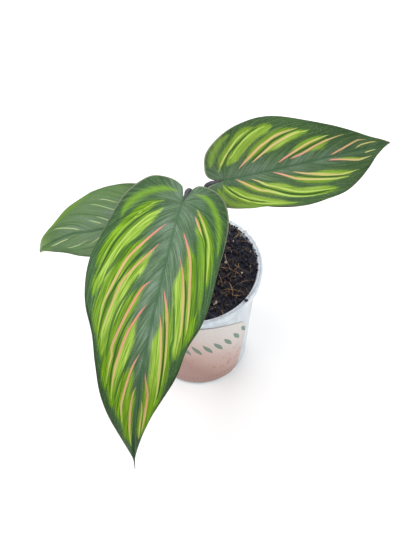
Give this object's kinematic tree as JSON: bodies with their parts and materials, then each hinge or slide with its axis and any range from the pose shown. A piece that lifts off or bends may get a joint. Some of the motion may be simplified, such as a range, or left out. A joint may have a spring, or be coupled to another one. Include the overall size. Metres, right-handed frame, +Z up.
{
  "type": "potted prayer plant",
  "caption": "Young prayer plant with long pointed patterned leaves on thin stalks, rooted in peat in a small tapered translucent cup pot with a rolled rim and a paper sticker.",
  "frame": {"origin": "centre of the pot's flat underside, on the surface that the pot stands on", "axes": "+Z up along the pot's axis, -Y towards the front with the sticker and the longest leaf, +X towards the upper leaf on the viewer's right"},
  "size_m": [0.1436, 0.1256, 0.1247],
  "materials": {
    "pot_plastic": "satin, milky and slightly translucent",
    "sticker_paper": "smooth coated paper",
    "peat": "rough and fibrous",
    "stalk_skin": "smooth, slightly waxy",
    "leaf_tissue": "satin"
  },
  "bodies": {
    "root": {"pot": "pot_plastic", "sticker": "sticker_paper", "soil": "peat", "stalk_front": "stalk_skin", "stalk_right": "stalk_skin", "stalk_left": "stalk_skin", "blade_front": "leaf_tissue", "blade_right": "leaf_tissue", "blade_left": "leaf_tissue"}
  },
  "joints": []
}
